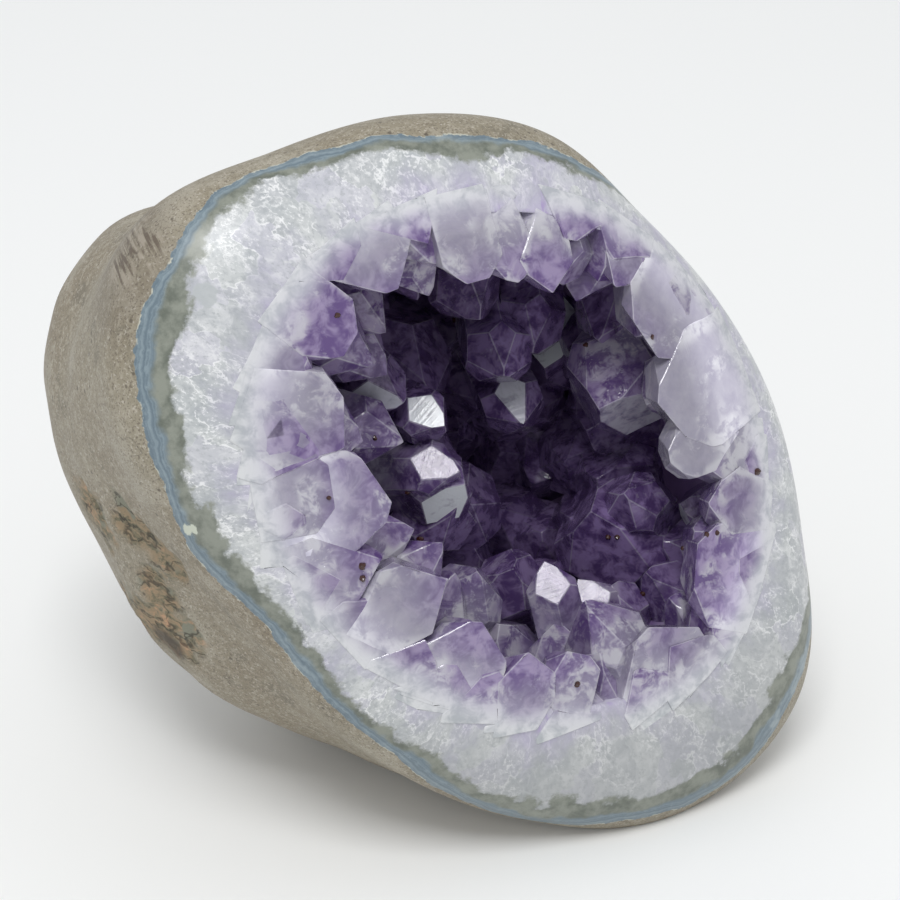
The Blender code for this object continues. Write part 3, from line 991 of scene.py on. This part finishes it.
def quartz_look(s, where, edge):
    """The colour of the polished milky quartz, darker low down as painted shade, with the distance
    out from the hollow's edge.
    """
    grain, _ = grain_space(s, where)
    uneven = bent(s, grain, 0.50, 3.4)
    cloud = s.noise(grain, 0.13, 4, 0.62)
    milk = s.noise(grain, 0.42, 3, 0.6, 1.2)
    crumbs = s.noise(grain, 1.7, 3, 0.72)
    cell = s.add("SeparateColor", Color=s.voronoi(uneven, 0.24, output="Color"))
    border = s.voronoi(uneven, 0.24, "DISTANCE_TO_EDGE")
    small = s.voronoi(bent(s, grain, 1.2, 1.6), 0.7, "DISTANCE_TO_EDGE")
    quartz = s.mix(s.step(cloud, 0.36, 0.62), QUARTZ_GREY, QUARTZ_WHITE)
    quartz = s.over(quartz, QUARTZ_DIM_CELL, s.step(cell.outputs[0], 0.5, 0.9), 0.5)
    quartz = s.over(quartz, QUARTZ_LILAC_CELL, s.step(cell.outputs[1], 0.55, 0.85), 0.35)
    quartz = s.over(quartz, QUARTZ_MILK, s.step(milk, 0.48, 0.68), 0.4)
    quartz = s.over(quartz, QUARTZ_CLEAR, s.step(milk, 0.46, 0.32), 0.4)
    quartz = s.over(quartz, QUARTZ_CRUMB, s.step(crumbs, 0.47, 0.36), 0.45)
    lines = s.times(s.step(border, 0.045, 0.008), s.step(crumbs, 0.40, 0.52))
    lines = s.most(lines, s.times(s.step(small, 0.06, 0.01, 0.0, 0.7), s.step(milk, 0.50, 0.60)))
    grit = s.times(s.step(crumbs, 0.54, 0.66), s.step(edge, -2.0, 12.0, 0.5, 0.9))
    lines = s.most(lines, grit)
    broken = s.step(s.noise(grain, 0.19, 2), 0.42, 0.60, 0.12, 0.65)
    quartz = s.over(quartz, QUARTZ_LINE, lines, broken)
    # Painted shade: the quartz is darker towards the bottom, where it faces down.
    low = s.step(s.add("SeparateXYZ", Vector=where).outputs[2], 0.045, 0.012)
    quartz = s.over(quartz, QUARTZ_PAINTED_SHADE, low, 0.5)
    reach = s.plus(edge, s.times(s.minus(cloud, 0.5), 34.0))
    quartz = s.over(quartz, QUARTZ_LILAC, s.step(reach, 10.0, -5.0), 0.7)
    spots = s.times(s.step(milk, 0.47, 0.36), s.step(reach, 3.0, -5.0))
    return s.over(quartz, QUARTZ_PURPLE, spots, 0.6)


def weathered_look(s, where, basalt, blotch, weather):
    """The basalt with the rust and the crevices of its weathered patches."""
    wavy = bent(s, where, 300, 0.004)
    drawn_out = s.add("Mapping", Vector=wavy, Rotation=(0.3, 0.9, 0.5), Scale=(1.0, 0.28, 1.0))
    streaky = drawn_out.outputs[0]
    stain = s.noise(streaky, 560, 4, 0.75)
    rust = s.mix(s.step(stain, 0.42, 0.54), RUST_GREEN, RUST_BROWN)
    rust = s.over(rust, RUST_ORANGE, s.step(stain, 0.54, 0.64), s.step(blotch, 0.42, 0.58))
    rust = s.mix(s.step(stain, 0.43, 0.35), rust, RUST_BLACK)
    rust = s.mix(s.step(s.noise(where, 130, 3), 0.48, 0.40), rust, RUST_GREY)
    basalt = s.over(basalt, rust, weather, 0.9)
    crevices = s.times(wisps(s, streaky, 150, 0.022, 0.3), s.step(weather, 0.1, 0.5))
    return s.over(basalt, CREVICE, crevices, 0.75)


def sawn_look(s, where, basalt):
    """The basalt with the saw's marks: ridges and grooves side by side."""
    along = s.times(s.dot(where, SAW_RUN), 0.12)
    lined_up = s.add("CombineXYZ", X=s.dot(where, SAW_ACROSS), Y=along).outputs[0]
    grooves = s.noise(lined_up, 1500, 2)
    sawn = s.times(s.attribute("sawn"), s.step(s.noise(where, 240, 2), 0.36, 0.50))
    basalt = s.over(basalt, SAW_RIDGE, sawn, s.step(grooves, 0.46, 0.58, 0.0, 0.9))
    return s.over(basalt, SAW_GROOVE, sawn, s.step(grooves, 0.46, 0.38, 0.0, 0.9))


def basalt_look(s, where, blotch, speck, weather):
    """The colour of the natural rock: mottled, weathered, pitted, sawn, cracked, with painted shade
    and a darker brown stretch.
    """
    broad = s.noise(where, 28, 3)
    fine = s.noise(where, 800, 2, 0.7)
    pale_speck = s.noise(where, 2100, 2)
    basalt = s.mix(s.step(broad, 0.3, 0.7), BASALT_DARK, BASALT_LIGHT)
    basalt = s.over(basalt, BASALT_PALE_BLOTCH, s.step(blotch, 0.52, 0.66), 0.6)
    basalt = s.over(basalt, BASALT_DARK_BLOTCH, s.step(blotch, 0.46, 0.34), 0.6)
    basalt = s.over(basalt, BASALT_GRAIN, s.step(fine, 0.46, 0.66), 0.8)
    basalt = s.over(basalt, BASALT_DARK_SPECK, s.step(speck, 0.54, 0.64), 0.7)
    basalt = s.over(basalt, BASALT_PALE_SPECK, s.step(pale_speck, 0.58, 0.68), 0.6)
    basalt = weathered_look(s, where, basalt, blotch, weather)
    pits = s.step(s.voronoi(where, 520), 0.22, 0.12)
    pits = s.times(pits, s.step(s.noise(where, 170, 2), 0.52, 0.60))
    basalt = s.over(basalt, PIT, pits, 0.7)
    basalt = sawn_look(s, where, basalt)
    # Painted shade in a hollow and a slit, and a darker brown stretch of the side.
    shade = s.step(blotch, 0.36, 0.52, 0.5, 0.9)
    basalt = s.over(basalt, PAINTED_SHADE_AND_PATCH_BROWN, s.attribute("painted_shade_and_patch"), shade)
    cracks = s.times(wisps(s, where, 46, 0.007, 1.2), s.step(broad, 0.50, 0.60))
    return s.over(basalt, CRACK, cracks, 0.3)


def agate_look(s, where, blotch, smooth_far, far, ragged):
    """The colour of the agate line: blue-grey layers with a pale crust outside."""
    layered = s.add("CombineXYZ", X=smooth_far, Y=s.times(ragged, 1.5)).outputs[0]
    agate = s.mix(s.step(s.noise(layered, 1.5, 2), 0.30, 0.75), AGATE_DARK, AGATE_LIGHT)
    agate = s.over(agate, AGATE_BLOTCH, s.step(blotch, 0.56, 0.66), 0.5)
    broken = s.step(s.noise(where, 420, 3, 0.7), 0.50, 0.60)
    crust = s.times(s.step(far, 0.30, 0.12), broken)
    return s.over(agate, AGATE_CRUST, crust, 0.8)


def inside_look(s, where, ragged, spot):
    """The colour of the quartz, and of the hollow's wall behind the crystals."""
    _, level = grain_space(s, where)
    edge = s.attribute("past_edge")
    quartz = quartz_look(s, where, edge)
    wall = s.mix(s.noise(where, 200, 3), WALL_DARK, WALL_LIGHT)
    quartz = s.over(quartz, wall, s.step(level, 3.0, -8.0), s.step(edge, 1.0, -1.0))
    return s.mix(s.step(spot, 0.35, 0.85, 0.0, 0.8), quartz, CLEAR_SPOT)


def stone_material():
    s = Shader("stone")
    where = s.add("TexCoord").outputs["Object"]
    blotch = s.noise(where, 95, 4, 0.65)
    speck = s.noise(where, 2900, 2, 0.6)
    wobble = s.minus(s.noise(where, 150, 4, 0.6), 0.5)
    ragged = s.minus(s.noise(where, 620, 4, 0.7), 0.5)
    weather = s.attribute("weather")
    spot = s.plus(s.attribute("spot"), s.times(ragged, 1.8))
    # The bands lie side by side, by the distance in from the agate's outer edge.
    smooth_far = s.plus(s.attribute("from_agate"), s.times(wobble, 3.6))
    far = s.plus(smooth_far, s.times(ragged, 0.9))
    uneven_width = s.step(s.noise(where, 130, 2), 0.3, 0.7, 0.75, 1.25)
    past_agate = s.minus(far, s.times(s.attribute("agate_width"), uneven_width))
    olive_end = s.times(s.attribute("olive_width"), uneven_width)
    past_olive = s.plus(s.minus(past_agate, olive_end), s.times(ragged, 2.8))
    in_agate = s.step(far, -0.08, 0.08)
    in_olive = s.step(past_agate, -0.5, 0.7)
    in_quartz = s.step(past_olive, -0.4, 0.9)
    olive = s.mix(s.step(s.noise(where, 260, 5, 0.65), 0.35, 0.65), OLIVE_DARK, OLIVE_LIGHT)
    colour = basalt_look(s, where, blotch, speck, weather)
    colour = s.mix(in_agate, colour, agate_look(s, where, blotch, smooth_far, far, ragged))
    colour = s.mix(in_olive, colour, olive)
    colour = s.mix(in_quartz, colour, inside_look(s, where, ragged, spot))
    colour = s.mix(s.step(spot, -0.40, -0.65), colour, PALE_CRUMB)
    s.set(Base_Color=colour)
    s.set(Roughness=s.mix_value(in_agate, s.mix_value(weather, 0.55, 0.9), 0.3))
    rough = s.plus(s.times(s.noise(where, 600, 2), 0.6), s.times(speck, 0.25))
    s.set(Normal=s.bump(rough, 0.0004, s.times(s.minus(1.0, in_agate), 0.8)))
    return s.material


def crystal_colour(s, down, depth_and_painted_shade, facet, patch, mist, crackle):
    """Pale at the root and purple at the tip, with veils and fractures, painted shade on the facets
    and painted highlights on the worn edges.
    """
    reach = s.plus(down, s.times(s.minus(patch, 0.5), 16.0))
    reach = s.plus(reach, s.times(s.minus(s.attribute("grown"), 0.5), 5.0))
    purple = s.step(reach, s.mix_value(depth_and_painted_shade, 13.0, 60.0), s.mix_value(depth_and_painted_shade, 0.5, 20.0))
    pale = s.mix(mist, PALE_DARK, PALE_LIGHT)
    lilac = s.mix(s.step(mist, 0.36, 0.64), LILAC_DARK, LILAC_LIGHT)
    deep = s.mix(s.step(mist, 0.36, 0.64), DEEP_DARK, DEEP_LIGHT)
    colour = s.mix(purple, pale, s.mix(s.step(depth_and_painted_shade, 0.0, 0.5), lilac, deep))
    # Painted shade: each facet is darkened by its own random amount, more so deep in the hollow, as
    # if the facets caught the light unequally.
    shade = s.mix_value(s.step(facet, 0.0, 1.0), 0.0, 0.5)
    colour = s.over(colour, PAINTED_FACET_SHADE, shade, s.mix_value(depth_and_painted_shade, 0.35, 0.9))
    veil = s.times(s.step(patch, 0.50, 0.62), s.step(mist, 0.44, 0.60))
    rims = s.step(s.attribute("core"), 0.24, 0.02)
    white = s.most(veil, s.times(rims, s.step(mist, 0.35, 0.55)))
    colour = s.over(colour, VEIL, white, s.step(depth_and_painted_shade, 0.0, 0.45, 0.75, 0.06))
    fractures = s.times(s.step(crackle, 0.56, 0.68), s.mix_value(depth_and_painted_shade, 0.32, 0.04))
    fractures = s.times(fractures, s.step(patch, 0.46, 0.56))
    colour = s.mix(fractures, colour, FRACTURE)
    # Painted highlight: the worn edges are painted pale, more so near the rim.
    worn = s.step(facet, WORN - 0.6, WORN - 0.4)
    line = s.times(worn, s.mix_value(depth_and_painted_shade, 0.70, 0.12), s.step(mist, 0.30, 0.60))
    return s.mix(line, colour, PAINTED_EDGE_HIGHLIGHT)


def amethyst_material():
    s = Shader("amethyst")
    where = s.add("TexCoord").outputs["Object"]
    down = s.attribute("down")
    depth_and_painted_shade = s.attribute("depth_and_painted_shade")
    edge = s.attribute("past_edge")
    facet = s.attribute("facet")
    dark = s.attribute("dark")
    uneven = bent(s, where, 260, 0.003, 1.0)
    patch = s.noise(uneven, 110, 2)
    mist = s.noise(uneven, 330, 3, 0.65)
    crackle = s.noise(uneven, 900, 2, 0.7)
    colour = crystal_colour(s, down, depth_and_painted_shade, facet, patch, mist, crackle)
    # Painted reflection: the glint facets are painted pale grey and are not see-through.
    painted_glint = s.math("SUBTRACT", facet, WORN, clamp=True)
    painted_glint = s.times(painted_glint, s.step(mist, 0.25, 0.45, 0.7, 1.0))
    colour = s.mix(painted_glint, colour, PAINTED_GLINT_GREY)
    # Out past the hollow's edge the crystals turn into the rim's milky quartz.
    sunk = s.step(s.plus(edge, s.times(s.minus(patch, 0.5), 6.0)), -1.5, 3.0)
    milk = s.mix(s.step(mist, 0.32, 0.62), RIM_GREY, RIM_WHITE)
    milk = s.mix(s.step(edge, 7.0, -3.0, 0.0, 0.5), milk, QUARTZ_LILAC)
    colour = s.mix(sunk, colour, milk)
    colour = s.mix(dark, colour, GRAIN)
    s.set(Base_Color=colour, Roughness=CRYSTAL_ROUGHNESS, IOR=QUARTZ_IOR)
    opaque = s.most(sunk, dark, s.most(painted_glint, s.step(down, 8.0, 16.0)))
    s.set(Transmission_Weight=s.mix_value(opaque, CLEARNESS, 0.0))
    growth_lines = s.noise(s.add("CombineXYZ", X=s.times(down, 2.4)).outputs[0], 1.0, 2)
    s.set(Normal=s.bump(s.plus(growth_lines, crackle), 0.00012, 0.4))
    absorb = s.add("VolumeAbsorption", Color=CLEAR_PURPLE, Density=ABSORPTION)
    s.tree.links.new(absorb.outputs[0], s.output.inputs["Volume"])
    return s.material


def plain_material(name, colour, roughness):
    s = Shader(name)
    s.set(Base_Color=colour, Roughness=roughness)
    return s.material


# The studio.


def point_at(obj, place, target):
    obj.location = place
    obj.rotation_euler = (target - place).to_track_quat("-Z", "Y").to_euler()
    bpy.context.scene.collection.objects.link(obj)


def studio():
    bpy.ops.mesh.primitive_plane_add(size=6, location=(0, 0, -0.0001))
    floor = bpy.context.object
    floor.name = "floor"
    floor.data.materials.append(plain_material("floor", FLOOR, 0.6))
    world = bpy.data.worlds.new("studio")
    bpy.context.scene.world = world
    world.use_nodes = True
    background = world.node_tree.nodes["Background"]
    background.inputs[0].default_value = (*SKY, 1)
    background.inputs[1].default_value = SKY_STRENGTH
    light = bpy.data.lights.new("overhead", "AREA")
    light.shape = "SQUARE"
    light.size = LIGHT_SIZE
    light.energy = LIGHT_POWER
    point_at(bpy.data.objects.new("overhead", light), LIGHT_PLACE, LIGHT_TARGET)


def camera():
    back = Vector((
        math.sin(AZIMUTH) * math.cos(ELEVATION),
        -math.cos(AZIMUTH) * math.cos(ELEVATION),
        math.sin(ELEVATION),
    ))
    right = Vector((math.cos(AZIMUTH), math.sin(AZIMUTH), 0))
    up = back.cross(right)
    target = FACE_CENTRE * MM + right * SHIFT_RIGHT + up * SHIFT_UP
    data = bpy.data.cameras.new("camera")
    data.sensor_width = SENSOR
    data.lens = SENSOR * DISTANCE / FIELD
    obj = bpy.data.objects.new("camera", data)
    point_at(obj, target + back * DISTANCE, target)
    bpy.context.scene.camera = obj


def main():
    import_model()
    stone = add_object("stone", stone_mesh())
    stone.data.materials.append(stone_material())
    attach(stone, "root")
    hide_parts("geode_stone")
    crystals = add_object("crystals", crystals_mesh())
    crystals.data.materials.append(amethyst_material())
    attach(crystals, "root")
    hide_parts("crystal_crust")
    studio()
    camera()
    bpy.context.scene.view_settings.view_transform = "Standard"


main()
